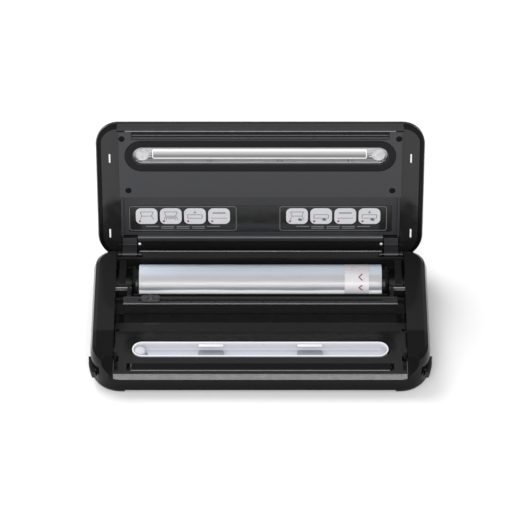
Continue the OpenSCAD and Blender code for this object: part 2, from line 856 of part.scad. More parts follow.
module control_button(k) {
  color("#3a3c42") translate([buttons[k][0], panel_y, lid_top_z - 3.2]) {
    difference() {
      cylinder(r = button_d / 2, h = 4);
      translate([0, 0, 3.6]) cylinder(r = button_d / 2 - 2, h = 1);
    }
  }
}

module pump_motor() {
  color("#a9abaf") translate([-12, pump_y, pump_z]) rotate([0, 90, 0]) {
    difference() {
      union() {
        cylinder(r = 12.2, h = 38);
        translate([0, 0, 38]) cylinder(r = 5, h = 2);
      }
      translate([0, 0, -1]) cylinder(r = 1.06, h = 60);
    }
  }
}

module motor_shaft() {
  color("silver") translate([-28, pump_y, pump_z]) rotate([0, 90, 0]) cylinder(r = 1, h = 58);
  color("#8d8f93") translate([-27, pump_y, pump_z]) rotate([0, 90, 0])
    translate([1.4, 0, 0]) cylinder(r = 4.4, h = 5);
}

module pump_head() {
  color("#e3e3e0") translate([-34, pump_y, pump_z]) difference() {
    union() {
      translate([0, -12, -12.2]) cube([20, 26, 25]);
      translate([10, 0, 12.8]) cylinder(r = 8, h = 3);
      // nozzle for the hose
      translate([0, hose_y - pump_y, hose_z - pump_z]) rotate([0, -90, 0]) cylinder(r = 1.8, h = 12);
    }
    // crank chamber and shaft hole
    translate([3, 0, 0]) rotate([0, 90, 0]) cylinder(r = 9.5, h = 14);
    translate([16, 0, 0]) rotate([0, 90, 0]) cylinder(r = 1.3, h = 10);
  }
}

module pump_bracket() {
  color("#7c7f84") {
    difference() {
      translate([-13.9, pump_y - 12, 31.6]) cube([1.6, 24, 25]);
      translate([-15, pump_y, pump_z]) rotate([0, 90, 0]) cylinder(r = 3, h = 4);
      for (y = [-9.6, 9.6], z = [-9, 10]) translate([-15, pump_y + y, pump_z + z])
        rotate([0, 90, 0]) cylinder(r = 1.2, h = 4);
    }
    translate([-12.4, pump_y - 12, 31.4]) cube([14, 24, 0.3]);
  }
}

module suction_hose() {
  color("#d8d8d4") {
    translate([-38, hose_y, hose_z]) rotate([0, -90, 0]) hose_tube(88);
    translate([-126, hose_y - 8, hose_z]) rotate([0, 0, 90]) rotate_extrude(angle = 90)
      translate([8, 0]) difference() {
        circle(3);
        circle(1.8);
      }
    translate([-134, hose_y - 8, hose_z]) rotate([90, 0, 0]) hose_tube(5);
  }
}

module hose_tube(length) {
  difference() {
    cylinder(r = 3, h = length);
    translate([0, 0, -1]) cylinder(r = 1.8, h = length + 2);
  }
}

module pressure_switch() {
  color("#30343a") translate([60, pump_y, 31.6]) {
    cylinder(r = 9, h = 8);
    translate([0, 0, 8]) cylinder(r = 3, h = 5);
  }
}

module vent_valve() {
  color("#4a5a70") translate([100, pump_y - 7, 31.6]) cube([18, 14, 14]);
  color("silver") translate([109, pump_y, 45.6]) cylinder(r = 2.4, h = 6);
}

// ---------- what is drawn ----------

place() base_housing();
place() bottom_cover();
place() rubber_feet();
place() bottom_screws();
place() deck_panel();
place() sealing_bar();
place() heating_element();
place() seal_tape();
place() roll_trough();
place() left_roll_bracket();
place() right_roll_bracket();
place() leaf_springs();
place() cutter_pivot_pins();
place() hinge_brackets();
place() hinge_pins();
place() power_board();
place() transformer();
place() heat_sink();
place() power_inlet();
place() lid_switches();
place() release_springs();
place() latch_pins();
place() drip_tray();
place() bag_film_roll();
place() roll_core();
place() cutter_bar();
place() cutter_arms();
place() cutter_guide_strip();
place() cutter_slider();
place() cutter_blade();
place() left_release_button();
place() right_release_button();
place() left_latch_hook();
place() right_latch_hook();
place() on_lid() lid_outer_shell();
place() on_lid() lid_rim_frame();
place() on_lid() lid_liner();
place() on_lid() lid_window();
place() on_lid() upper_gasket();
place() on_lid() pressure_strip();
place() on_lid() label_plate();
place() on_lid() liner_screws();
place() on_lid() rear_rail_screws();
place() on_lid() lid_bumpers();
place() on_lid() lid_hinge_arms();
place() on_lid() control_panel();
place() on_lid() control_board();
place() on_lid() tact_switches();
place() on_lid() pump_motor();
place() on_lid() motor_shaft();
place() on_lid() pump_head();
place() on_lid() pump_bracket();
place() on_lid() suction_hose();
place() on_lid() pressure_switch();
place() on_lid() vent_valve();
place() on_lid() control_button(0);  // vacuum_seal_button
place() on_lid() control_button(1);  // seal_button
place() on_lid() control_button(2);  // pulse_button
place() on_lid() control_button(3);  // mode_button
place() on_lid() control_button(4);  // stop_button
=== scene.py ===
"""An open table-top vacuum sealer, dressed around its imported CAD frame."""
import json
import math
import random

import bmesh
import bpy
from mathutils import Matrix, Vector


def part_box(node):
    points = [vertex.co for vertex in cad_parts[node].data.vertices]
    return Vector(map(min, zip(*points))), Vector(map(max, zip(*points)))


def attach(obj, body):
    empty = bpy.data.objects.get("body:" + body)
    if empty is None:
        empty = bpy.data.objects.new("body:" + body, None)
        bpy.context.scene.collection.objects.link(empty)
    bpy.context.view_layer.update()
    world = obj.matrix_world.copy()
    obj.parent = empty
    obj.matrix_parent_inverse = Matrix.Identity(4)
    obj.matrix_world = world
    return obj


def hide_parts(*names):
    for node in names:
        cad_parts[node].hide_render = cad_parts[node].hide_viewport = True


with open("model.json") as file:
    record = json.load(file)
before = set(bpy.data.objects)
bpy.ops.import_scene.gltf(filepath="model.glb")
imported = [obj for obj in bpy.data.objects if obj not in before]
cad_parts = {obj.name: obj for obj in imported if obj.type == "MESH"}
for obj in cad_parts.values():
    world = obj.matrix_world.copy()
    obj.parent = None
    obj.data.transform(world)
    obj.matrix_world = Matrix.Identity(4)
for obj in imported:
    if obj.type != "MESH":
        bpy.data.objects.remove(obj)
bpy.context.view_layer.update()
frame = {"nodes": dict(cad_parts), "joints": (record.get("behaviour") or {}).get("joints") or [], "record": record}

MM = 0.001
NODES = frame["nodes"]
BODY_OF = {n: b for b, names in frame["record"]["behaviour"]["bodies"].items() for n in names}
SLOT_OF = {s["node"]: s["material_slot"] for s in frame["record"]["subparts"]}

# the lid's swing: its pieces are shaped in the closed pose and then opened
LID_JOINT = next(j for j in frame["joints"] if j["name"] == "lid_hinge")
HINGE = Vector(LID_JOINT["pos_m"])
OPEN_ANGLE = math.radians(LID_JOINT["range_deg"][1])
SWING = Matrix.Translation(HINGE) @ Matrix.Rotation(-OPEN_ANGLE, 4, "X") @ Matrix.Translation(-HINGE)


def closed_box(node):
    """Lowest and highest corner of a lid node, with the lid closed."""
    back = SWING.inverted()
    points = [back @ v.co for v in NODES[node].data.vertices]
    low = Vector([min(p[i] for p in points) for i in range(3)])
    high = Vector([max(p[i] for p in points) for i in range(3)])
    return low, high


def middle(box):
    return (box[0] + box[1]) / 2


def span(box):
    return box[1] - box[0]


def in_mm(pairs):
    """Pairs of millimetres, as pairs of metres."""
    return [(first * MM, second * MM) for first, second in pairs]


def grey(tone):
    return (tone, tone, tone)


def full_turn(count):
    """Angles evenly spaced round a full turn."""
    return [2 * math.pi * k / count for k in range(count)]


# ---------- camera, light and floor ----------

CAMERA_TILT = math.radians(45.5)  # below the horizon
CAMERA_SPOT = (0.0057, -2.8589, 2.9977)
LENS = 226.4  # mm, on a sensor 36 mm wide
FLOOR_HALF = 6.0


def make_camera():
    data = bpy.data.cameras.new("camera")
    data.lens = LENS
    data.sensor_width = 36
    data.clip_end = 50
    camera = bpy.data.objects.new("camera", data)
    camera.location = CAMERA_SPOT
    camera.rotation_euler = (math.pi / 2 - CAMERA_TILT, 0, 0)
    bpy.context.collection.objects.link(camera)
    bpy.context.scene.camera = camera


def area_light(name, place, target, size, power, reflected=True):
    """A rectangular softbox, in metres and watts. One that isn't reflected leaves gloss dark."""
    data = bpy.data.lights.new(name, "AREA")
    data.shape = "RECTANGLE"
    data.size, data.size_y = size
    data.energy = power
    light = bpy.data.objects.new(name, data)
    light.location = place
    light.rotation_euler = (Vector(target) - Vector(place)).to_track_quat("-Z", "Y").to_euler()
    light.visible_glossy = reflected
    bpy.context.collection.objects.link(light)


def make_lights():
    area_light("key", (-1.3, 1.5, 2.3), (0, 0, 0), (2.0, 2.0), 77, reflected=False)
    area_light("camera_softbox", (0.0, -2.0, 2.06), (0, 0, 0.03), (1.8, 0.5), 37)
    area_light("front_strip", (0.0, -2.2, 1.2), (0, 0, 0.05), (2.4, 0.3), 11)
    area_light("rear_left_strip", (-1.5, 1.6, 0.5), (0, 0, 0.05), (0.9, 0.12), 2.6)
    area_light("rear_right_strip", (1.5, 1.6, 0.5), (0, 0, 0.05), (0.9, 0.12), 2.6)
    world = bpy.data.worlds.new("studio")
    world.use_nodes = True
    background = world.node_tree.nodes["Background"]
    background.inputs["Color"].default_value = (1, 1, 1, 1)
    background.inputs["Strength"].default_value = 0.62
    bpy.context.scene.world = world
    bpy.context.scene.view_settings.view_transform = "Standard"


def make_floor():
    mesh = bpy.data.meshes.new("floor")
    signs = ((-1, -1), (1, -1), (1, 1), (-1, 1))
    mesh.from_pydata([(x * FLOOR_HALF, y * FLOOR_HALF, 0) for x, y in signs], [], [(0, 1, 2, 3)])
    floor = bpy.data.objects.new("floor", mesh)
    bpy.context.collection.objects.link(floor)
    mat = surface("floor_paper", (0.8, 0.8, 0.805), 0.75, grain=0.6 * MM, depth=0.02 * MM, tint=0.004)
    mesh.materials.append(mat)


# ---------- materials ----------


def start_material(name, colour, rough, metal=0.0):
    """A new material, with its node tree and its shader."""
    mat = bpy.data.materials.new(name)
    mat.use_nodes = True
    tree = mat.node_tree
    shader = tree.nodes["Principled BSDF"]
    shader.inputs["Base Color"].default_value = (*colour, 1)
    shader.inputs["Roughness"].default_value = rough
    shader.inputs["Metallic"].default_value = metal
    return mat, tree, shader


def coordinates(tree, stretch=(1, 1, 1)):
    """Object coordinates in metres, stretched along each axis."""
    source = tree.nodes.new("ShaderNodeTexCoord")
    mapping = tree.nodes.new("ShaderNodeMapping")
    mapping.inputs["Scale"].default_value = stretch
    tree.links.new(source.outputs["Object"], mapping.inputs["Vector"])
    return mapping.outputs["Vector"]


def noise(tree, vector, size, detail=2.0):
    """A noise field whose features are about size metres across."""
    node = tree.nodes.new("ShaderNodeTexNoise")
    node.inputs["Scale"].default_value = 1 / size
    node.inputs["Detail"].default_value = detail
    tree.links.new(vector, node.inputs["Vector"])
    return node.outputs["Fac"]


def remap(tree, value, low, high, low_in=0.3, high_in=0.7):
    """Spreads the values from low_in to high_in over low to high."""
    node = tree.nodes.new("ShaderNodeMapRange")
    node.inputs["From Min"].default_value = low_in
    node.inputs["From Max"].default_value = high_in
    node.inputs["To Min"].default_value = low
    node.inputs["To Max"].default_value = high
    tree.links.new(value, node.inputs["Value"])
    return node.outputs["Result"]


def colour_ramp(tree, value, stops):
    """stops is a list of (place, (r, g, b))."""
    node = tree.nodes.new("ShaderNodeValToRGB")
    ramp = node.color_ramp
    for index, (place, colour) in enumerate(stops):
        stop = ramp.elements[index] if index < 2 else ramp.elements.new(place)
        stop.position = place
        stop.color = (*colour, 1)
    tree.links.new(value, node.inputs["Fac"])
    return node.outputs["Color"]


def bump(tree, shader, value, depth):
    """Raises the surface by up to depth metres where the value is high."""
    node = tree.nodes.new("ShaderNodeBump")
    node.inputs["Strength"].default_value = 1.0
    node.inputs["Distance"].default_value = depth
    tree.links.new(value, node.inputs["Height"])
    tree.links.new(node.outputs["Normal"], shader.inputs["Normal"])


def surface(name, colour, rough, grain, depth, tint=0.06, metal=0.0, coat=0.0, specular=0.5,
            stretch=(1, 1, 1), patch=12 * MM):
    """Moulded or rolled stock: fine grain, and slow changes of tint and gloss."""
    mat, tree, shader = start_material(name, colour, rough, metal)
    shader.inputs["Specular IOR Level"].default_value = specular
    shader.inputs["Coat Weight"].default_value = coat
    shader.inputs["Coat Roughness"].default_value = 0.08
    place = coordinates(tree, stretch)
    slow = noise(tree, place, patch, 3.0)
    fine = noise(tree, place, grain, 2.0)
    dark = tuple(c * (1 - tint) for c in colour)
    light = tuple(min(1.0, c * (1 + tint)) for c in colour)
    tree.links.new(colour_ramp(tree, slow, [(0.3, dark), (0.7, light)]), shader.inputs["Base Color"])
    spread = remap(tree, slow, max(0.02, rough - 0.04), rough + 0.04)
    tree.links.new(spread, shader.inputs["Roughness"])
    bump(tree, shader, fine, depth)
    return mat


def brushed(name, colour, rough, along=0, line=0.15 * MM):
    """Metal brushed along one axis."""
    stretch = [1.0, 1.0, 1.0]
    stretch[along] = 0.02
    return surface(name, colour, rough, line, 0.004 * MM, tint=0.12, metal=1.0, stretch=tuple(stretch),
                   patch=0.6 * MM)


# painted highlights and shade round the roll, by share of a turn: 0.5 faces the rear, 0.75 the top and 1.0 the
# front; the dark band near 0.91 is painted shade and the white band from 0.935 to the front is a painted highlight
FILM_PAINTED_LIGHT = [
    (0.0, (0.5, 0.52, 0.56)), (0.62, (0.54, 0.61, 0.7)), (0.727, (0.58, 0.65, 0.74)),
    (0.78, (0.52, 0.55, 0.6)), (0.815, (0.42, 0.42, 0.44)), (0.845, (0.42, 0.42, 0.43)),
    (0.868, (0.46, 0.46, 0.47)), (0.896, (0.42, 0.42, 0.44)), (0.907, (0.25, 0.26, 0.29)),
    (0.926, (0.24, 0.26, 0.3)), (0.935, (0.98, 0.99, 1.0)), (1.0, (1.0, 1.0, 1.0)),
]


def film_material():
    """Many wraps of clear film: silvery, with painted highlights and shade in streaks along its length."""
    mat, tree, shader = start_material("wound_film", (0.62, 0.65, 0.7), 0.3)
    source = tree.nodes.new("ShaderNodeTexCoord")
    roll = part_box("bag_film_roll")
    axis = middle(roll)
    shift = tree.nodes.new("ShaderNodeMapping")
    shift.inputs["Location"].default_value = (0, -axis.y, -axis.z)
    tree.links.new(source.outputs["Object"], shift.inputs["Vector"])
    split = tree.nodes.new("ShaderNodeSeparateXYZ")
    tree.links.new(shift.outputs["Vector"], split.inputs["Vector"])
    angle = tree.nodes.new("ShaderNodeMath")
    angle.operation = "ARCTAN2"
    tree.links.new(split.outputs["Z"], angle.inputs[0])
    tree.links.new(split.outputs["Y"], angle.inputs[1])
    turn = remap(tree, angle.outputs[0], 0.0, 1.0, -math.pi, math.pi)
    # the painted streaks wander a little along the roll
    wander = noise(tree, coordinates(tree, (0.12, 1, 1)), 9 * MM, 2.0)
    shifted = tree.nodes.new("ShaderNodeMath")
    shifted.operation = "ADD"
    tree.links.new(remap(tree, wander, -0.004, 0.004), shifted.inputs[0])
    tree.links.new(turn, shifted.inputs[1])
    tree.links.new(colour_ramp(tree, shifted.outputs[0], FILM_PAINTED_LIGHT), shader.inputs["Base Color"])
    shader.inputs["Coat Weight"].default_value = 0.3
    shader.inputs["Coat Roughness"].default_value = 0.2
    shader.inputs["Subsurface Weight"].default_value = 0.5
    shader.inputs["Subsurface Radius"].default_value = (1.0, 1.0, 1.0)
    shader.inputs["Subsurface Scale"].default_value = 9 * MM
    streak = noise(tree, coordinates(tree, (0.03, 1, 1)), 1.1 * MM, 3.0)
    bump(tree, shader, streak, 0.16 * MM)
    return mat


def place_along(tree, start, end):
    """0 at the start point and 1 at the end point, in the piece's own coordinates."""
    line = end - start
    source = tree.nodes.new("ShaderNodeTexCoord")
    dot = tree.nodes.new("ShaderNodeVectorMath")
    dot.operation = "DOT_PRODUCT"
    dot.inputs[1].default_value = line / line.length_squared
    tree.links.new(source.outputs["Object"], dot.inputs[0])
    offset = start.dot(line) / line.length_squared
    return remap(tree, dot.outputs["Value"], 0.0, 1.0, offset, offset + 1.0)


def banded(name, start, end, stops, rough, coat=0.0, specular=0.5, through=0.0):
    """Moulded stock whose tint changes in bands between two points."""
    mat, tree, shader = start_material(name, stops[0][1], rough)
    shader.inputs["Specular IOR Level"].default_value = specular
    shader.inputs["Coat Weight"].default_value = coat
    shader.inputs["Coat Roughness"].default_value = 0.08
    shader.inputs["Transmission Weight"].default_value = through
    where = place_along(tree, start, end)
    tree.links.new(colour_ramp(tree, where, stops), shader.inputs["Base Color"])
    vector = coordinates(tree)
    tree.links.new(remap(tree, noise(tree, vector, 9 * MM), max(0.02, rough - 0.03), rough + 0.03),
                   shader.inputs["Roughness"])
    bump(tree, shader, noise(tree, vector, 1.1 * MM), 0.008 * MM)
    return mat


def rear_to_front(box):
    return Vector((0, box[1].y, 0)), Vector((0, box[0].y, 0))


def bottom_to_top(box):
    return Vector((0, 0, box[0].z)), Vector((0, 0, box[1].z))


def forward_share(box, y):
    """Where y, in millimetres, lies between 0 at the box's rear and 1 at its front."""
    return (box[1].y - y * MM) / (box[1].y - box[0].y)


def deck_material():
    """Glossy deck with painted reflections of the cutter bar: a lighter band behind the tray for its lit top edge,
    and darker under the cutter bar for its dark front face.
    """
    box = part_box("deck_panel")
    # painted reflections: dark behind -39.6 mm for the bar's front face, a lighter band for its lit top edge
    painted_light_tones = [(-39.6, 0.0022), (-41.4, 0.016), (-53.4, 0.016), (-55.6, 0.009), (-72, 0.0075)]
    stops = [(forward_share(box, y), grey(tone)) for y, tone in painted_light_tones]
    stops = [(0.0, grey(0.0022))] + stops + [(1.0, grey(0.0075))]
    return banded("gloss_black_deck", *rear_to_front(box), stops, 0.1, specular=0.36)


def tray_material():
    """White tray with painted shade: bright rim, cooler and darker down in the trough."""
    stops = [(0.0, (0.5, 0.51, 0.56)), (0.14, (0.5, 0.51, 0.56)), (0.55, (0.54, 0.55, 0.6)),
             (0.86, (0.6, 0.6, 0.64)), (0.95, (0.7, 0.7, 0.72)), (1.0, (0.72, 0.72, 0.73))]
    return banded("tray_white", *bottom_to_top(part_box("drip_tray")), stops, 0.3)


def weave_material():
    """Heat-proof tape: a plain weave under its slick coating."""
    mat, tree, shader = start_material("seal_tape", (0.008, 0.008, 0.008), 0.4)
    shader.inputs["Specular IOR Level"].default_value = 0.1
    pitch = 0.5 * MM
    waves = []
    for direction in ("X", "Y"):
        wave = tree.nodes.new("ShaderNodeTexWave")
        wave.bands_direction = direction
        wave.inputs["Scale"].default_value = 0.314 / pitch
        tree.links.new(coordinates(tree), wave.inputs["Vector"])
        waves.append(wave.outputs["Fac"])
    joined = tree.nodes.new("ShaderNodeMath")
    joined.operation = "MULTIPLY"
    tree.links.new(waves[0], joined.inputs[0])
    tree.links.new(waves[1], joined.inputs[1])
    bump(tree, shader, joined.outputs[0], 0.05 * MM)
    tint = colour_ramp(tree, joined.outputs[0], [(0.0, grey(0.005)), (1.0, grey(0.009))])
    tree.links.new(tint, shader.inputs["Base Color"])
    return mat


def pivot_pin_material():
    """Bright pin banded from rear to front: a painted dark reflection along its upper side, between painted
    highlights.
    """
    stops = [(0.0, grey(0.75)), (0.66, grey(0.75)), (0.7, grey(0.02)), (0.95, grey(0.02)),
             (0.97, grey(0.8)), (1.0, grey(0.8))]
    mat = banded("pin_painted_reflection", *rear_to_front(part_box("cutter_pivot_pins")), stops, 0.25)
    mat.node_tree.nodes["Principled BSDF"].inputs["Metallic"].default_value = 0.9
    return mat


def cutter_bar_material():
    """Dark bar whose top face is painted lighter: painted light falling on the top."""
    stops = [(0.0, grey(0.0045)), (0.96, grey(0.0045)), (0.985, grey(0.024)), (1.0, grey(0.024))]
    return banded("satin_cutter_bar", *bottom_to_top(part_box("cutter_bar")), stops, 0.25, specular=0.25)


def housing_material():
    """Gloss black, painted a little lighter on the rear two thirds of the cheeks: a painted reflection."""
    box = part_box("base_housing")
    step = forward_share(box, -71)
    light, dark = (0.0115, 0.0115, 0.0118), (0.0035, 0.0035, 0.0038)
    stops = [(0.0, light), (step, light), (step + 0.02, dark), (1.0, dark)]
    return banded("gloss_black_housing", *rear_to_front(box), stops, 0.1, specular=0.11)


# One material for each slot of the CAD nodes, and two for added edges. A surface is given by its
# name, colour, roughness, and the size and depth of its grain.
MAKERS = {
    "housing_black": lambda: surface("gloss_black_shell", (0.0035, 0.0035, 0.0038), 0.1, 3 * MM, 0.004 * MM,
                                     specular=0.11),
    "deck_black": deck_material,
    "rim_black": lambda: surface("gloss_rail", (0.0085, 0.0085, 0.009), 0.13, 2 * MM, 0.006 * MM,
                                 specular=0.45),
    "moulded_black": lambda: surface("moulded_black", (0.007, 0.007, 0.0075), 0.4, 0.35 * MM, 0.03 * MM,
                                     specular=0.35),
    "release_black": lambda: surface("release_black", (0.006, 0.006, 0.0065), 0.2, 0.6 * MM, 0.012 * MM,
                                     specular=0.35),
    "foot_rubber": lambda: surface("foot_rubber", (0.015, 0.015, 0.015), 0.75, 0.4 * MM, 0.05 * MM),
    "steel": lambda: brushed("plain_steel", (0.55, 0.55, 0.56), 0.32),
    "chrome": lambda: brushed("polished_pin", (0.85, 0.85, 0.87), 0.12),
    "spring_steel": lambda: brushed("spring_steel", (0.045, 0.045, 0.052), 0.5, along=1),
    "hook_steel": lambda: brushed("hook_steel", (0.06, 0.06, 0.065), 0.45, along=2),
    "bar_black": lambda: surface("heat_resistant_black", (0.006, 0.006, 0.006), 0.35, 0.3 * MM, 0.01 * MM,
                                 specular=0.15),
    "heater": lambda: brushed("heating_strip", (0.03, 0.028, 0.026), 0.5),
    "tray_white": tray_material,
    "bumper_white": lambda: surface("bumper_white", grey(0.85), 0.45, 0.6 * MM, 0.02 * MM, tint=0.02),
    "core_card": lambda: surface("core_board", (0.5, 0.4, 0.27), 0.85, 0.5 * MM, 0.06 * MM, tint=0.15),
    "gasket_foam": lambda: surface("gasket_foam", (0.0085, 0.0085, 0.0083), 0.88, 0.45 * MM, 0.09 * MM,
                                   tint=0.12, specular=0.25),
    "silicone": lambda: surface("grey_silicone", (0.05, 0.05, 0.056), 0.3, 0.5 * MM, 0.02 * MM),
    "label": lambda: surface("label_film", (0.009, 0.009, 0.009), 0.16, 2 * MM, 0.006 * MM),
    "liner_charcoal": lambda: surface("liner_charcoal", (0.027, 0.0275, 0.0315), 0.32, 0.3 * MM, 0.014 * MM,
                                      tint=0.05, specular=0.42),
    "board": lambda: surface("circuit_board", (0.02, 0.12, 0.045), 0.4, 1.0 * MM, 0.02 * MM, tint=0.3),
    "laminations": lambda: brushed("laminated_core", (0.3, 0.3, 0.31), 0.45, along=0, line=0.5 * MM),
    "aluminium": lambda: brushed("extruded_aluminium", (0.62, 0.62, 0.64), 0.35, along=1),
    "motor_can": lambda: brushed("motor_can", (0.45, 0.46, 0.48), 0.3),
    "pump_plastic": lambda: surface("pump_plastic", (0.7, 0.7, 0.66), 0.5, 0.5 * MM, 0.03 * MM),
    "hose": lambda: surface("hose_silicone", (0.62, 0.62, 0.58), 0.45, 0.8 * MM, 0.02 * MM),
    "component_black": lambda: surface("component_black", (0.02, 0.02, 0.022), 0.45, 0.5 * MM, 0.03 * MM),
    "panel_black": lambda: surface("panel_black", (0.008, 0.008, 0.009), 0.12, 2 * MM, 0.005 * MM),
    "button_grey": lambda: surface("button_grey", (0.1, 0.1, 0.11), 0.38, 0.4 * MM, 0.02 * MM),
    "slider_smoke": lambda: surface("slider_smoke", (0.05, 0.05, 0.055), 0.22, 0.8 * MM, 0.01 * MM,
                                    coat=0.4),
    "guide_grey": lambda: surface("guide_grey", (0.03, 0.03, 0.034), 0.45, 0.5 * MM, 0.02 * MM,
                                  specular=0.3),
    "film": film_material,
    "seal_tape": weave_material,
    # the two edge materials are lighter than the black they trim: painted highlights
    "painted_highlight_black": lambda: surface("gloss_edge_painted_highlight", (0.075, 0.075, 0.078), 0.2, 2 * MM, 0.004 * MM,
                                    specular=0.8),
    "pale_painted_highlight": lambda: surface("pale_painted_highlight_edge", (0.16, 0.16, 0.165), 0.25, 2 * MM, 0.004 * MM,
                                 specular=0.6),
}

# nodes whose look differs from the rest of their slot
OWN_LOOK = {
    "base_housing": housing_material,
    "cutter_bar": cutter_bar_material,
    "cutter_pivot_pins": pivot_pin_material,
    "liner_screws": lambda: surface("sunken_screw", (0.004, 0.004, 0.0042), 0.3, 0.3 * MM, 0.01 * MM,
                                    specular=0.1),
    "hinge_pins": lambda: brushed("dull_hinge_pin", (0.06, 0.06, 0.065), 0.4),
    "lid_hinge_arms": lambda: surface("hinge_arm_black", (0.016, 0.016, 0.018), 0.38, 0.35 * MM,
                                      0.03 * MM),
}

LOOKS = {}


def look(slot):
    """The slot's material, made once."""
    if slot not in LOOKS:
        LOOKS[slot] = MAKERS[slot]()
    return LOOKS[slot]


# ---------- mesh helpers ----------

SMOOTH_ANGLE = math.radians(34)


def link_mesh(name, mesh, mat, body, stands_for=()):
    """Links a finished mesh as a piece of the object."""
    piece = bpy.data.objects.new(name, mesh)
    bpy.context.collection.objects.link(piece)
    if mat:
        mesh.materials.clear()
        mesh.materials.append(mat)
    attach(piece, body)
    if stands_for:
        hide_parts(*stands_for)
    return piece


def shade(mesh, angle=SMOOTH_ANGLE):
    """Smooth shading, with edges sharper than the angle left crisp."""
    mesh.polygons.foreach_set("use_smooth", [True] * len(mesh.polygons))
    mesh.set_sharp_from_angle(angle=angle)


def with_modifiers(mesh, *settings):
    """A new mesh: the given one with modifiers applied. Each setting is (type, {values})."""
    carrier = bpy.data.objects.new("carrier", mesh)
    bpy.context.collection.objects.link(carrier)
    for kind, values in settings:
        modifier = carrier.modifiers.new(kind.lower(), kind)
        for key, value in values.items():
            setattr(modifier, key, value)
    depsgraph = bpy.context.evaluated_depsgraph_get()
    result = bpy.data.meshes.new_from_object(carrier.evaluated_get(depsgraph))
    bpy.data.objects.remove(carrier)
    return result


def bevelled(mesh, width):
    """The mesh with its edges rounded to a width in metres."""
    shade(mesh, math.pi)
    mesh = with_modifiers(mesh, ("BEVEL", {
        "width": width, "segments": 3, "limit_method": "ANGLE", "angle_limit": math.radians(38),
        "use_clamp_overlap": True, "miter_outer": "MITER_ARC"}))
    shade(mesh)
    return with_modifiers(mesh, ("WEIGHTED_NORMAL", {"keep_sharp": True, "weight": 80}))


def plain_mesh(name, bm):
    """Turns the working mesh into a mesh of its own, and frees it."""
    mesh = bpy.data.meshes.new(name)
    bm.to_mesh(mesh)
    bm.free()
    return mesh


def cad_copy(node):
    """A clean copy of a CAD node's mesh: welded, with its flat faces joined up."""
    bm = bmesh.new()
    for vertex in NODES[node].data.vertices:
        bm.verts.new(vertex.co)
    bm.verts.ensure_lookup_table()
    for face in NODES[node].data.polygons:
        try:
            bm.faces.new([bm.verts[i] for i in face.vertices])
        except ValueError:
            continue
    bmesh.ops.remove_doubles(bm, verts=bm.verts, dist=2e-6)
    bmesh.ops.dissolve_limit(bm, angle_limit=math.radians(0.4), verts=bm.verts, edges=bm.edges)
    return plain_mesh(node, bm)


def dress(node, bevel):
    """The CAD node's own shape with its edges broken, in place of the CAD node."""
    slot = SLOT_OF[node]
    mesh = bevelled(cad_copy(node), bevel)
    mat = OWN_LOOK[node]() if node in OWN_LOOK else look(slot)
    return link_mesh(node + "_detailed", mesh, mat, BODY_OF[node], (node,))


def keep(node):
    """The CAD node stays as it is, with its material."""
    slot = SLOT_OF[node]
    for place in NODES[node].material_slots:
        place.material = look(slot)


# ---------- shaped pieces ----------


def bridge(bm, first, second):
    """Skins the gap between two loops of as many points."""
    count = len(first)
    for i in range(count):
        j = (i + 1) % count
        bm.faces.new((first[i], first[j], second[j], second[i]))


def loft_rings(bm, rings, around=False):
    """Skins a list of point rings and caps its ends, or joins the last ring back to the first."""
    loops = [[bm.verts.new(point) for point in points] for points in rings]
    for first, second in zip(loops, loops[1:]):
        bridge(bm, first, second)
    if around:
        bridge(bm, loops[-1], loops[0])
        return
    bm.faces.new(loops[0][::-1])
    bm.faces.new(loops[-1])


def stadium(centre, length, width, height, inset=0.0, steps=20):
    """Points round a long shape with half-round ends, at one height."""
    radius = width / 2 - inset
    reach = (length - width) / 2
    points = []
    for side in (1, -1):
        for k in range(steps + 1):
            angle = -math.pi / 2 + math.pi * k / steps
            points.append((centre.x + side * (reach + radius * math.cos(angle)),
                           centre.y + side * radius * math.sin(angle), height))
    return points


def rounded_rectangle(centre, length, width, radius, height, steps=6):
    """Points round a rectangle with rounded corners, at one height."""
    points = []
    corners = ((1, -1, -90), (1, 1, 0), (-1, 1, 90), (-1, -1, 180))
    for sx, sy, start in corners:
        for k in range(steps + 1):
            angle = math.radians(start + 90 * k / steps)
            points.append((centre.x + sx * (length / 2 - radius) + radius * math.cos(angle),
                           centre.y + sy * (width / 2 - radius) + radius * math.sin(angle), height))
    return points


def circle(centre, radius, rise, steps):
    """Points round a level circle, rise metres above its centre."""
    return [(centre[0] + radius * math.cos(angle), centre[1] + radius * math.sin(angle), centre[2] + rise)
            for angle in full_turn(steps)]


def revolve(bm, centre, profile, steps=48, around=False):
    """A turned shape on an upright axis. profile is a list of (radius, height above the centre)."""
    loft_rings(bm, [circle(centre, radius, rise, steps) for radius, rise in profile], around)


def soft_block(bm, low, high, width, segments=3):
    """A box between two corners with rounded edges."""
    made = bmesh.ops.create_cube(bm, size=1.0)["verts"]
    size = high - low
    for vertex in made:
        vertex.co = low + Vector([(c + 0.5) * s for c, s in zip(vertex.co, size)])
    edges = {e for v in made for e in v.link_edges}
    bmesh.ops.bevel(bm, geom=list(edges), offset=width, segments=segments, affect="EDGES", profile=0.5)


def tube(bm, points, radius, sides=10):
    """A round wire along a list of points."""
    last = len(points) - 1
    rings = []
    for i, point in enumerate(points):
        ahead = Vector(points[min(i + 1, last)]) - Vector(points[max(i - 1, 0)])
        ahead.normalize()
        aside = Vector((1, 0, 0)) if abs(ahead.x) < 0.8 else Vector((0, 1, 0))
        across = ahead.cross(aside).normalized()
        other = ahead.cross(across)
        rings.append([tuple(Vector(point) + radius * (math.cos(a) * across + math.sin(a) * other))
                      for a in full_turn(sides)])
    loft_rings(bm, rings)


def slab(bm, centre, length, width, radius, low, high):
    """A flat block with rounded corners, between two heights."""
    loft_rings(bm, [rounded_rectangle(centre, length, width, radius, low),
                    rounded_rectangle(centre, length, width, radius, high)])


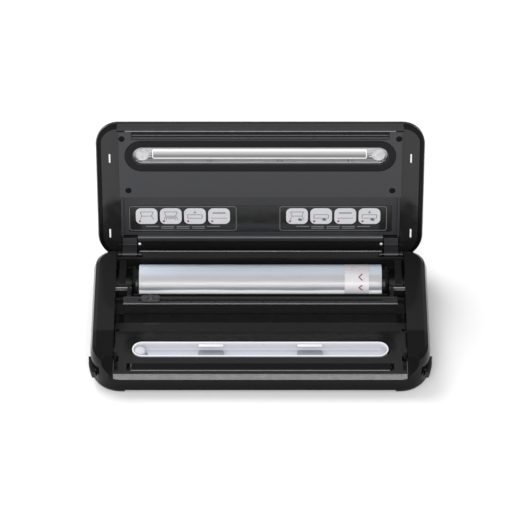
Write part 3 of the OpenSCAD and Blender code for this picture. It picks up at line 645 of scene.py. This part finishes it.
def bar(bm, x0, y0, x1, y1, line, low, high):
    """A straight printed line, as a thin slab."""
    start, end = Vector((x0, y0, 0)), Vector((x1, y1, 0))
    side = (end - start).normalized().cross(Vector((0, 0, 1))) * line / 2
    corners = (start + side, end + side, end - side, start - side)
    loft_rings(bm, [[(c.x, c.y, low) for c in corners], [(c.x, c.y, high) for c in corners]])


def finished(name, bm, slot, body, stands_for=(), mat=None, lid=False, angle=SMOOTH_ANGLE):
    """Closes a shaped piece: its normals, its place on the open lid, its material and its body."""
    bmesh.ops.recalc_face_normals(bm, faces=bm.faces)
    if lid:
        bm.transform(SWING)
    mesh = plain_mesh(name, bm)
    shade(mesh, angle)
    return link_mesh(name, mesh, mat or look(slot), body, stands_for)


# ---------- the pieces ----------

LINER_SCREWS = [(-169, -107.6), (169, -107.6), (-162, -35), (162, -35)]  # x and y, in millimetres
BUTTONS = ["vacuum_seal_button", "seal_button", "pulse_button", "mode_button", "stop_button"]
TABS = (-60.4 * MM, 60.4 * MM)


def make_tray():
    """White drip tray: rolled rim, filleted floor, port cover and finger tabs, with grey patches painted as
    shadows under the tabs and beside the port cover.
    """
    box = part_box("drip_tray")
    centre, size = middle(box), span(box)
    floor = box[0].z
    # how far in from the outline, and how high above the tray's underside
    profile = [(3.4, 0), (2.0, 0.2), (1.3, 0.9), (1.1, 5.0), (1.0, 10.3), (0.3, 10.6), (0.02, 11.2),
               (0.25, 11.9), (0.9, 12.19), (1.6, 12.0), (2.1, 11.3), (2.4, 8.0), (2.8, 3.6), (3.4, 2.3),
               (4.4, 1.6), (6.2, 1.4)]
    bm, dome, recess = (bmesh.new() for _ in range(3))
    loft_rings(bm, [stadium(centre, size.x, size.y, floor + z * MM, inset * MM) for inset, z in profile])
    port = Vector((box[0].x + 9.6 * MM, centre.y, floor))
    revolve(dome, port, in_mm([(7.2, 1.0), (7.2, 8.0), (6.9, 9.0), (6.0, 9.9), (4.4, 10.4), (2.2, 10.7),
                               (0.3, 10.8)]))
    for x in TABS:
        low = Vector((x - 15.4 * MM, box[1].y - 7.4 * MM, floor + 9.0 * MM))
        high = Vector((x + 15.4 * MM, box[1].y - 2.9 * MM, floor + 11.2 * MM))
        soft_block(bm, low, high, 0.9 * MM)
        # a grey slab on the tray's floor under each tab: a painted shadow
        slab(recess, Vector((x, centre.y + 1.2 * MM, 0)), 31 * MM, 8.6 * MM, 2.6 * MM,
             floor + 1.2 * MM, floor + 3.4 * MM)
    finished("drip_tray_detailed", bm, "tray_white", "tray", ("drip_tray",))
    # a grey disc under the port cover, set off to its right so that a crescent shows: a painted shadow
    moat = port + Vector((0.9 * MM, 0, 0))
    revolve(recess, moat, in_mm([(8.3, 1.2), (8.3, 2.2), (0.3, 2.2)]))
    pale = surface("tray_port_cover", (0.5, 0.5, 0.54), 0.3, 1.2 * MM, 0.012 * MM, tint=0.03)
    finished("tray_port_dome", dome, "tray_white", "tray", mat=pale)
    # grey for the painted shadows
    shadow_paint = surface("tray_shadow_grey", (0.26, 0.265, 0.3), 0.4, 1.2 * MM, 0.012 * MM, tint=0.05)
    finished("tray_painted_shadows", recess, "tray_white", "tray", mat=shadow_paint)


def make_gasket():
    """Foam ring with eased shoulders."""
    box = closed_box("upper_gasket")
    centre, size = middle(box), span(box)
    face = box[0].z
    profile = [(0.0, 3.2), (0.0, 1.2), (0.25, 0.5), (0.8, 0.12), (1.8, 0.0), (4.6, 0.04), (7.4, 0.0),
               (8.4, 0.12), (8.95, 0.5), (9.2, 1.2), (9.2, 3.2)]
    bm = bmesh.new()
    rings = [stadium(centre, size.x, size.y, face + z * MM, inset * MM) for inset, z in profile]
    loft_rings(bm, rings, around=True)
    finished("upper_gasket_detailed", bm, "gasket_foam", "lid", ("upper_gasket",), lid=True)


def make_window():
    """Clear cover over the vacuum channel: rolled edge, a long raised rib and frosted ends."""
    box = closed_box("lid_window")
    centre, face = middle(box), box[0].z
    flange = 3.2 * MM
    size = span(box) - Vector((2 * flange, 2 * flange, 0))
    make_window_cover(centre, face, size)
    make_window_rib(centre, face)
    make_window_ends(centre, face, size)


def make_window_cover(centre, face, size):
    """The cover itself, banded with painted reflections and painted shade."""
    top, bottom = centre.y - size.y / 2, centre.y + size.y / 2
    edge = [(6.2, 3.0), (1.6, 3.0), (0.0, 2.4), (0.0, 0.9), (0.4, 0.25), (1.0, 0.0), (1.6, 0.25),
            (1.9, 1.0), (2.6, 1.5), (5.0, 1.7), (7.0, 1.7)]
    bm = bmesh.new()
    loft_rings(bm, [stadium(centre, size.x, size.y, face + z * MM, inset * MM) for inset, z in edge])
    # painted reflections and painted shade, in bands from the cover's front edge to its rear edge
    painted_light_tones = [(0.0, 0.3), (0.06, 0.42), (0.2, 0.6), (0.45, 0.35), (0.62, 0.16), (0.7, 0.08), (0.77, 0.08),
             (0.81, 0.3), (0.86, 0.08), (0.9, 0.1), (0.94, 0.42), (1.0, 0.2)]
    stops = [(where, (tone, tone, tone * 1.02)) for where, tone in painted_light_tones]
    cover = banded("clear_cover", SWING @ Vector((0, top, face)), SWING @ Vector((0, bottom, face)),
                   stops, 0.14, coat=0.4, through=0.12)
    finished("lid_window_detailed", bm, "clear_plastic", "lid", ("lid_window",), mat=cover, lid=True)


def make_window_rib(centre, face):
    """The rib, open towards the lid's front edge, banded with painted highlights and shade, with a rolled border
    coloured bright as a painted highlight.
    """
    rib, border = bmesh.new(), bmesh.new()
    rib_mid = Vector((-1.0 * MM, centre.y - 2.7 * MM, 0))
    length, width = 261 * MM, 13.4 * MM
    steps = ((0, 1.9), (0, 0.5), (0.4 * MM, 0.1), (1.0 * MM, 0.02))
    loft_rings(rib, [
        rounded_rectangle(rib_mid, length - 2 * inset, width - 2 * inset, 1.6 * MM, face + z * MM)
        for inset, z in steps])
    # painted highlights and shade across the rib, from its front to its rear
    painted_light_tones = [(0.0, 0.6), (0.12, 0.95), (0.2, 0.98), (0.3, 0.6), (0.42, 0.45), (0.55, 0.36), (0.66, 0.2),
             (0.86, 0.14), (0.93, 0.3), (1.0, 0.5)]
    stops = [(where, (tone, tone, tone * 1.01)) for where, tone in painted_light_tones]
    mat = banded("rib_plastic", SWING @ (rib_mid + Vector((0, -width / 2, face))),
                 SWING @ (rib_mid + Vector((0, width / 2, face))), stops, 0.12, coat=0.5, through=0.08)
    finished("window_rib", rib, "clear_plastic", "lid", mat=mat, lid=True)
    left, right = rib_mid.x - length / 2, rib_mid.x + length / 2
    front, rear = rib_mid.y - width / 2 + 1.5 * MM, rib_mid.y + width / 2
    level = face + 0.45 * MM
    round_off, corner = 1.2 * MM, 0.4 * MM
    path = [(left, front), (left, rear - round_off), (left + corner, rear - corner),
            (left + round_off, rear), (right - round_off, rear), (right - corner, rear - corner),
            (right, rear - round_off), (right, front)]
    tube(border, [(x, y, level) for x, y in path], 0.75 * MM)
    # the border is coloured near white: a painted highlight
    bright = surface("rib_border_painted_highlight", (0.86, 0.86, 0.87), 0.15, 1 * MM, 0.006 * MM, tint=0.02, coat=0.5)
    finished("window_rib_border", border, "clear_plastic", "lid", mat=bright, lid=True)


def make_window_ends(centre, face, size):
    """Frosted port covers with three slats at both ends, and the clips along the lower edge."""
    ports, clips = bmesh.new(), bmesh.new()
    port_profile = in_mm([(8.4, 0), (8.4, -1.0), (7.6, -1.7), (6.9, -1.2), (5.6, -1.2), (5.2, -1.8),
                          (2.6, -1.9), (2.2, -1.3), (0.3, -1.2)])
    slat, clip = Vector((4.2, 1.6, 1.4)) * MM, Vector((1.6, 2.2, 1.2)) * MM
    for side in (-1, 1):
        port = (side * (size.x / 2 - 11.5 * MM), centre.y - 0.6 * MM, face + 2.0 * MM)
        revolve(ports, port, port_profile)
        for k in range(3):
            x = side * (size.x / 2 - 20.5 * MM)
            y = centre.y - 5.6 * MM + k * 3.4 * MM
            low = Vector((x - 2.1 * MM, y, face + 0.3 * MM))
            soft_block(ports, low, low + slat, 0.5 * MM, 2)
    for x in (-148, -62, 24, 110, 147):
        for lean in (-1, 1):
            low = Vector((x * MM + lean * 2.2 * MM - 0.8 * MM, centre.y + 7.4 * MM, face + 0.7 * MM))
            soft_block(clips, low, low + clip, 0.4 * MM, 2)
    frosted = surface("frosted_port", (0.5, 0.5, 0.51), 0.3, 1.4 * MM, 0.05 * MM, tint=0.16, patch=4 * MM)
    finished("window_ports", ports, "clear_plastic", "lid", mat=frosted, lid=True)
    smoked = surface("smoked_clip", (0.09, 0.09, 0.095), 0.3, 0.8 * MM, 0.01 * MM)
    finished("window_clips", clips, "clear_plastic", "lid", mat=smoked, lid=True)


def make_pressure_strip():
    """Dark silicone strip with two raised lines, which presses on the sealing bar."""
    box = closed_box("pressure_strip")
    body, lines = bmesh.new(), bmesh.new()
    soft_block(body, box[0] + Vector((0, 0, 0.35 * MM)), box[1], 0.5 * MM)
    for y in (4.0, 7.8):
        at = (box[0].y + y * MM, box[0].z + 0.85 * MM)
        tube(lines, [(box[0].x + 0.6 * MM, *at), (box[1].x - 0.6 * MM, *at)], 0.85 * MM, 14)
    dark = surface("dark_silicone", (0.006, 0.006, 0.007), 0.32, 0.5 * MM, 0.01 * MM, specular=0.15)
    finished("pressure_strip_detailed", body, "silicone", "lid", ("pressure_strip",), mat=dark, lid=True)
    finished("pressure_strip_lines", lines, "silicone", "lid", lid=True)


def make_screw_wells():
    """A shallow recess round each liner screw, coloured near black without gloss: painted shade."""
    bm = bmesh.new()
    face = closed_box("lid_liner")[0].z
    profile = [(3.7, 0.1), (3.7, -0.25), (3.3, -0.45), (2.9, -0.25), (2.6, 0.3)]
    for x, y in LINER_SCREWS:
        revolve(bm, (x * MM, y * MM, face), in_mm(profile), steps=32, around=True)
    black = surface("screw_well", (0.001, 0.001, 0.001), 0.6, 0.5 * MM, 0.02 * MM, specular=0.02)
    finished("liner_screw_wells", bm, "liner_charcoal", "lid", mat=black, lid=True)


def make_edges():
    """Rolled edges, coloured lighter than the black they sit on as painted highlights: rear rim, cutter bar,
    sealing bar, cheeks and lid apron.
    """
    rim, cutter, seal, apron = (bmesh.new() for _ in range(4))
    tube(rim, [(-150 * MM, 61.5 * MM, 50.4 * MM), (151 * MM, 61.5 * MM, 50.4 * MM)], 0.9 * MM)
    for side in (-1, 1):
        x = side * 178.6 * MM
        tube(rim, [(x, -101 * MM, 28.3 * MM), (x, -126 * MM, 28.3 * MM)], 0.7 * MM)
    bar_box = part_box("cutter_bar")
    line = (bar_box[0].y + 0.8 * MM, bar_box[1].z - 0.7 * MM)
    tube(cutter, [(bar_box[0].x, *line), (bar_box[1].x, *line)], 0.95 * MM)
    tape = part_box("seal_tape")
    level = tape[1].z - 0.15 * MM
    tube(seal, [(tape[0].x, tape[1].y - 1 * MM, level), (tape[0].x, tape[0].y, level),
                (tape[1].x, tape[0].y, level)], 0.55 * MM)
    shell = closed_box("lid_outer_shell")
    line = (shell[0].y + 0.9 * MM, shell[0].z + 0.4 * MM)
    tube(apron, [(-165 * MM, *line), (165 * MM, *line)], 0.85 * MM)
    finished("rear_rim_bead", rim, "deck_black", "base", mat=look("painted_highlight_black"))
    finished("cutter_bar_bead", cutter, "bar_gloss", "cutter_frame", mat=look("painted_highlight_black"))
    finished("sealing_bar_bead", seal, "bar_black", "base", mat=look("pale_painted_highlight"))
    finished("lid_apron_bead", apron, "housing_black", "lid", mat=look("pale_painted_highlight"), lid=True)


def make_rear_screw_heads():
    """Bright domed heads of the two screws in the lid's rear rail."""
    bm = bmesh.new()
    box = closed_box("rear_rail_screws")
    y, reach = (box[0].y + box[1].y) / 2, box[1].x - 1.7 * MM
    profile = in_mm([(1.9, 0.6), (1.9, 0), (1.6, -0.5), (1.0, -0.85), (0.2, -0.95)])
    for side in (-1, 1):
        revolve(bm, (side * reach, y, box[0].z), profile, steps=24)
    mat = surface("bright_screw_head", (0.8, 0.8, 0.81), 0.3, 0.4 * MM, 0.01 * MM, metal=0.4)
    finished("rear_screw_heads", bm, "chrome", "lid", mat=mat, lid=True)


LABEL_FRAME = (133 * MM, 34.6 * MM)
FRAME_MIDDLES = {-1: -96.4 * MM, 1: 90.5 * MM}
ICON = (27 * MM, 22.6 * MM)
ICON_PITCH = 30 * MM

# pictures as straight lines (x0, y0, x1, y1), in millimetres from the middle of their tile
LID_UP = [(-8, -6, 8, -6), (-8, -6, -6, 0), (8, -6, 6, 0), (-6, 0, 6, 0), (-6, 0, -8.5, 5),
          (6, 0, 8.5, 5)]
BODY_SHUT = [(-9, -2, 9, -2), (-9, -2, -9, 3), (9, -2, 9, 3), (-9, 3, 9, 3)]
BAG = [(-5, 1.6, 5, 1.6), (-5, 1.6, -5.8, 5.6), (5, 1.6, 5.8, 5.6), (-4, 3.4, 4, 3.4)]
ARROW = [(0, -8, 0, -4), (-1.8, -5.8, 0, -4), (1.8, -5.8, 0, -4)]
SEALED = [(-8, -4, 8, -4), (-10, 3, 10, 3), (-8, -5, 8, -5)]
HAND = [(1.2, 4.4, 5.6, 4.4), (1.6, 5.2, 6.4, 5.2), (2.0, 6.0, 6.4, 6.0), (3.0, 3.6, 4.4, 3.6)]
PICTURES = {
    -1: [LID_UP, LID_UP + BAG, BODY_SHUT + ARROW, SEALED],
    1: [LID_UP + HAND, BODY_SHUT + HAND, SEALED, BODY_SHUT + ARROW + HAND],
}


def draw_lines(bm, spot, lines, low, high):
    """Draws a picture on its tile, with the hand in heavier lines."""
    for x0, y0, x1, y1 in lines:
        width = 1.1 * MM if (x0, y0, x1, y1) in HAND else 0.7 * MM
        bar(bm, spot.x + x0 * MM, spot.y + y0 * MM, spot.x + x1 * MM, spot.y + y1 * MM, width, low, high)


def make_label():
    """Black label with two framed rows of plain pictures. It holds no writing and no mark."""
    box = closed_box("label_plate")
    centre, size, face = middle(box), span(box), box[0].z
    bm = bmesh.new()
    eased = 0.2 * MM
    loft_rings(bm, [
        rounded_rectangle(centre, size.x, size.y, 1.5 * MM, face + 0.55 * MM),
        rounded_rectangle(centre, size.x, size.y, 1.5 * MM, face + 0.12 * MM),
        rounded_rectangle(centre, size.x - eased, size.y - eased, 1.4 * MM, face + 0.03 * MM)])
    finished("label_plate_detailed", bm, "label", "lid", ("label_plate",), lid=True)
    make_label_print(centre, face)


def make_label_print(centre, face):
    """The frames, tiles, drawings, dots and dashes printed on the label, one shape for each ink."""
    frames, icons, drawings, dots, rules = (bmesh.new() for _ in range(5))
    print_low, print_high = face - 0.02 * MM, face + 0.04 * MM
    for side in (-1, 1):
        mid = Vector((FRAME_MIDDLES[side], centre.y - 0.6 * MM, 0))
        long, wide, line = *LABEL_FRAME, 0.45 * MM
        loft_rings(frames, [
            rounded_rectangle(mid, long - 2 * inset, wide - 2 * inset, 3 * MM - inset, z)
            for inset, z in ((0, print_high), (0, print_low), (line, print_low), (line, print_high))
        ], around=True)
        for k in range(4):
            spot = Vector((mid.x - long / 2 + 8 * MM + ICON[0] / 2 + k * ICON_PITCH,
                           mid.y - wide / 2 + 2.6 * MM + ICON[1] / 2, 0))
            slab(icons, spot, ICON[0], ICON[1], 6.6 * MM, print_low, print_high)
            draw_lines(drawings, spot, PICTURES[side][k], print_low - 0.02 * MM, print_low)
            dot = Vector((spot.x - 8.6 * MM, spot.y + 7.4 * MM, 0))
            slab(dots, dot, 2.9 * MM, 2.9 * MM, 1.44 * MM, print_low - 0.02 * MM, print_low)
        # two rows of plain dashes under the pictures
        for row, count in ((0, 5), (1, 3)):
            y = mid.y + wide / 2 - (5.8 - 2.6 * row) * MM
            for k in range(count):
                x = mid.x + (k - (count - 1) / 2) * 19 * MM
                bar(rules, x - 8 * MM, y, x + 8 * MM, y, 0.8 * MM, print_low, print_high)
    ink = {
        "label_frames": (frames, surface("frame_ink", (0.24, 0.22, 0.22), 0.4, 0.5 * MM, 0.004 * MM)),
        "label_rules": (rules, surface("rule_ink", (0.22, 0.22, 0.23), 0.4, 0.5 * MM, 0.004 * MM)),
        "label_icons": (icons, surface("white_ink", (0.6, 0.6, 0.62), 0.4, 0.5 * MM, 0.004 * MM,
                                       tint=0.02)),
        "label_drawings": (drawings, surface("grey_ink", (0.09, 0.095, 0.11), 0.5, 0.5 * MM, 0.004 * MM)),
        "label_dots": (dots, surface("red_ink", (0.35, 0.03, 0.03), 0.45, 0.5 * MM, 0.004 * MM)),
    }
    for name, (shape, mat) in ink.items():
        finished(name, shape, "label", "lid", mat=mat, lid=True)


def make_film_roll():
    """Wound film: a spiral outer wrap with its loose edge, wound ends and a bore for the core."""
    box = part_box("bag_film_roll")
    centre, size = middle(box), span(box)
    outer, bore = size.z / 2, 13 * MM
    wrap, steps, loose_edge = 0.16 * MM, 96, math.radians(118)
    left, grooves = -size.x / 2, 18
    left_end = []
    for k in range(grooves + 1):
        dip = 0.35 * MM if k % 2 and k < grooves else 0.0
        left_end.append((bore + (outer - 0.5 * MM - bore) * (k / grooves), left + dip))
    left_end += [(outer - 0.12 * MM, left + 0.15 * MM), (outer, left + 0.6 * MM)]
    profile = left_end + [(outer, x * MM) for x in range(-140, 141, 20)]
    profile += [(radius, -x) for radius, x in reversed(left_end)]
    bm = bmesh.new()
    loops = []
    rng = random.Random(7)
    for radius, x in profile:
        ripple = rng.uniform(-0.03, 0.03) * MM
        points = []
        for turn in full_turn(steps):
            spiral = wrap * (((turn - loose_edge) / (2 * math.pi)) % 1.0)
            r = radius if radius <= bore else radius - wrap + spiral - abs(ripple)
            points.append((x, centre.y + r * math.cos(turn), centre.z + r * math.sin(turn)))
        loops.append(points)
    loft_rings(bm, loops, around=True)
    finished("bag_film_roll_detailed", bm, "film", "film_roll", ("bag_film_roll",), angle=math.radians(50))
    make_film_print(centre, outer, steps)


def make_film_print(centre, outer, steps):
    """A printed band near the roll's right end, and two plain arrow marks on it."""
    band, arrows = bmesh.new(), bmesh.new()
    start, end = 104 * MM, 134 * MM
    raised = outer + 0.05 * MM
    corners = ((start, outer), (start, raised), (end, raised), (end, outer))
    loft_rings(band, [
        [(x, centre.y + r * math.cos(t), centre.z + r * math.sin(t)) for t in full_turn(steps)]
        for x, r in corners])
    for middle_turn, reach in ((math.radians(115), 4.2), (math.radians(147), 3.0)):
        for lean in (-1, 1):
            rail = []
            for k in range(7):
                share = k / 6
                turn = middle_turn + lean * share * reach * MM / outer
                x = start + (17.5 + 4.4 * share) * MM
                rail.append((x, centre.y + raised * math.cos(turn), centre.z + raised * math.sin(turn)))
            tube(arrows, rail, 0.8 * MM, 6)
    band_mat = surface("printed_band", (0.6, 0.58, 0.6), 0.3, 0.9 * MM, 0.03 * MM, tint=0.04)
    finished("film_printed_band", band, "film", "film_roll", mat=band_mat)
    arrow_mat = surface("faded_red_ink", (0.3, 0.09, 0.11), 0.5, 0.5 * MM, 0.01 * MM)
    finished("film_arrow_marks", arrows, "film", "film_roll", mat=arrow_mat)


def make_release_springs():
    """The two coil springs behind the release buttons."""
    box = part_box("release_springs")
    bm = bmesh.new()
    centre, wire, turns = middle(box), 0.32 * MM, 7
    radius = span(box).z / 2 - wire
    reach = 10.4 * MM - 2 * wire
    for side in (-1, 1):
        coil = []
        for k in range(turns * 16 + 1):
            share = k / (turns * 16)
            angle = 2 * math.pi * turns * share
            x = side * (box[1].x - wire - reach * share)
            coil.append((x, centre.y + radius * math.cos(angle), centre.z + radius * math.sin(angle)))
        tube(bm, coil, wire, 8)
    finished("release_springs_detailed", bm, "spring_steel", "base", ("release_springs",))


def make_panel_marks():
    """Plain rings round the control buttons and a small lamp beside each."""
    panel = closed_box("control_panel")
    rings, lamps = bmesh.new(), bmesh.new()
    top = panel[1].z
    for name in BUTTONS:
        spot = middle(closed_box(name))
        outer, inner = 9.6 * MM, 9.6 * MM - 0.4 * MM
        low, high = -0.04 * MM, 0.02 * MM
        revolve(rings, (spot.x, spot.y, top), [(outer, low), (outer, high), (inner, high), (inner, low)],
                around=True)
        revolve(lamps, (spot.x, spot.y + 12.6 * MM, top - 0.05 * MM),
                in_mm([(0.9, 0), (0.9, 0.07), (0.5, 0.12)]), steps=16)
    ink = surface("panel_ink", (0.5, 0.5, 0.52), 0.4, 0.5 * MM, 0.004 * MM, tint=0.03)
    finished("panel_rings", rings, "panel_black", "lid", mat=ink, lid=True)
    lamp = surface("lamp_lens", (0.2, 0.32, 0.42), 0.2, 0.6 * MM, 0.01 * MM, coat=0.5)
    finished("panel_lamps", lamps, "panel_black", "lid", mat=lamp, lid=True)


# ---------- which CAD pieces are dressed ----------

EDGES = {
    0.9 * MM: ["lid_hinge_arms"],
    0.5 * MM: ["base_housing", "lid_outer_shell", "lid_rim_frame", "lid_liner", "deck_panel", "roll_trough",
               "bottom_cover", "left_release_button", "right_release_button", "rubber_feet"],
    0.35 * MM: ["left_roll_bracket", "right_roll_bracket", "cutter_bar", "cutter_arms", "hinge_brackets",
                "power_inlet", "pump_head", "control_panel", *BUTTONS],
    0.2 * MM: ["left_latch_hook", "right_latch_hook", "cutter_slider", "cutter_guide_strip",
               "leaf_springs", "lid_bumpers", "lid_switches", "pump_motor", "pump_bracket",
               "sealing_bar", "liner_screws", "bottom_screws", "pressure_switch", "vent_valve",
               "cutter_pivot_pins", "hinge_pins", "transformer", "heat_sink", "power_board",
               "control_board", "tact_switches", "motor_shaft", "roll_core"],
}
KEPT = ["heating_element", "seal_tape", "latch_pins", "cutter_blade", "rear_rail_screws", "suction_hose"]

make_camera()
make_lights()
make_floor()
for width, names in EDGES.items():
    for name in names:
        dress(name, width)
for name in KEPT:
    keep(name)
make_tray()
make_gasket()
make_window()
make_label()
make_film_roll()
make_release_springs()
make_panel_marks()
make_pressure_strip()
make_screw_wells()
make_edges()
make_rear_screw_heads()
